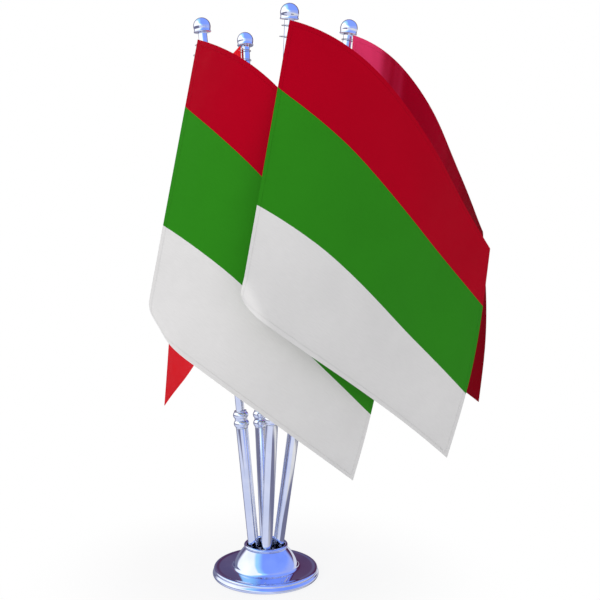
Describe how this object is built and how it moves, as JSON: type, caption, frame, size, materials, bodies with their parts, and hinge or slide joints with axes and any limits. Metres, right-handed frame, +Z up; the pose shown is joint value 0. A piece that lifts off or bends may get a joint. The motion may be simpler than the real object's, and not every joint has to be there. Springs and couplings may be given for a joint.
{
  "type": "desk flag stand",
  "caption": "Desk stand with a weighted round base and leaning two-part poles with ball finials, each carrying a small cloth flag on cord loops.",
  "frame": {"origin": "centre of the base's underside, on the surface that the stand rests on", "axes": "+Z up along the base's axis; -Y towards the front, where the striped flags show; +X to the right"},
  "size_m": [0.3206, 0.3446, 0.4319],
  "materials": {
    "chrome": "polished plating",
    "pad": "matte non-slip pad",
    "ballast": "raw",
    "socket_block": "moulded",
    "fastener": "zinc-plated",
    "flag_striped": "satin polyester with red, green and white stripes",
    "flag_red": "satin polyester",
    "loop_cord": "twisted cord"
  },
  "bodies": {
    "base": {"base_shell": "chrome", "base_pad": "pad", "ballast_plate": "ballast", "socket_block": "socket_block", "clamp_screw": "fastener", "clamp_washer": "fastener", "lower_tube_left": "chrome", "ferrule_left": "chrome", "lower_tube_back": "chrome", "ferrule_back": "chrome", "lower_tube_front": "chrome", "ferrule_front": "chrome", "lower_tube_right": "chrome", "ferrule_right": "chrome"},
    "rod_left": {"upper_rod_left": "chrome", "finial_left": "chrome"},
    "flag_left": {"flag_left": "flag_striped", "flag_loop_left_1": "loop_cord", "flag_loop_left_2": "loop_cord"},
    "rod_back": {"upper_rod_back": "chrome", "finial_back": "chrome"},
    "flag_back": {"flag_back": "flag_red", "flag_loop_back_1": "loop_cord", "flag_loop_back_2": "loop_cord"},
    "rod_front": {"upper_rod_front": "chrome", "finial_front": "chrome"},
    "flag_front": {"flag_front": "flag_striped", "flag_loop_front_1": "loop_cord", "flag_loop_front_2": "loop_cord"},
    "rod_right": {"upper_rod_right": "chrome", "finial_right": "chrome"},
    "flag_right": {"flag_right": "flag_red", "flag_loop_right_1": "loop_cord", "flag_loop_right_2": "loop_cord"}
  },
  "joints": [
    {"name": "rod_left_lift", "type": "slide", "parent": "base", "child": "rod_left", "axis": [-0.102, 0.0125, 0.9947], "range_m": [0, 0.02]},
    {"name": "flag_left_swivel", "type": "hinge", "parent": "rod_left", "child": "flag_left", "pos_m": [-0.00989, -0.00052, 0.026], "axis": [-0.102, 0.0125, 0.9947], "range_deg": [-5, 1]},
    {"name": "rod_back_lift", "type": "slide", "parent": "base", "child": "rod_back", "axis": [-0.0476, 0.1178, 0.9919], "range_m": [0, 0.02]},
    {"name": "flag_back_swivel", "type": "hinge", "parent": "rod_back", "child": "flag_back", "pos_m": [-0.00052, 0.00989, 0.026], "axis": [-0.0476, 0.1178, 0.9919], "range_deg": [-45, 75]},
    {"name": "rod_front_lift", "type": "slide", "parent": "base", "child": "rod_front", "axis": [0.0329, -0.1227, 0.9919], "range_m": [0, 0.02]},
    {"name": "flag_front_swivel", "type": "hinge", "parent": "rod_front", "child": "flag_front", "pos_m": [0.00052, -0.00989, 0.026], "axis": [0.0329, -0.1227, 0.9919], "range_deg": [-18, 8]},
    {"name": "rod_right_lift", "type": "slide", "parent": "base", "child": "rod_right", "axis": [0.1233, -0.0086, 0.9923], "range_m": [0, 0.02]},
    {"name": "flag_right_swivel", "type": "hinge", "parent": "rod_right", "child": "flag_right", "pos_m": [0.00989, 0.00052, 0.026], "axis": [0.1233, -0.0086, 0.9923], "range_deg": [-15, 55]}
  ]
}
